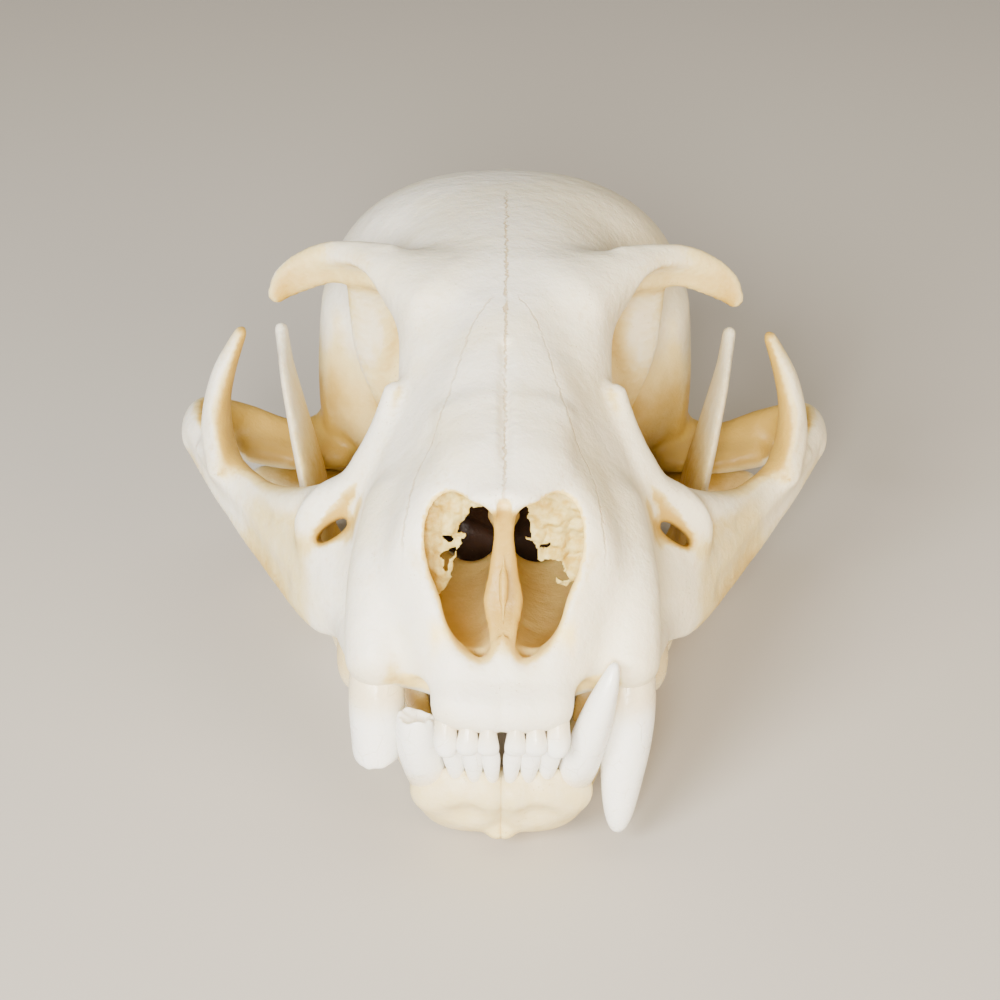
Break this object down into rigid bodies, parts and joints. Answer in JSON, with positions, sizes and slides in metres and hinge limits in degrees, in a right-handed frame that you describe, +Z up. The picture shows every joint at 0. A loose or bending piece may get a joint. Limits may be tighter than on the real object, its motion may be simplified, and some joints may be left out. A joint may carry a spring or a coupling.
{
  "type": "animal skull",
  "caption": "Bleached lynx skull with its lower jaw closed, resting on the jaw; two of the canines are broken short.",
  "frame": {"origin": "bottom centre of the bounding box, on the surface the skull lies on", "axes": "+Z up; the nose points to -Y and the back of the skull to +Y; +X is the animal's left side"},
  "size_m": [0.0908, 0.1206, 0.0592],
  "materials": {
    "bone": "matte, dry bleached bone, ivory to white",
    "enamel": "smooth, slightly glossy tooth enamel"
  },
  "bodies": {
    "root": {"cranium": "bone", "jaw_left": "bone", "jaw_right": "bone", "upper_canine_left": "enamel", "upper_canine_right": "enamel", "lower_canine_left": "enamel", "lower_canine_right": "enamel"}
  },
  "joints": []
}
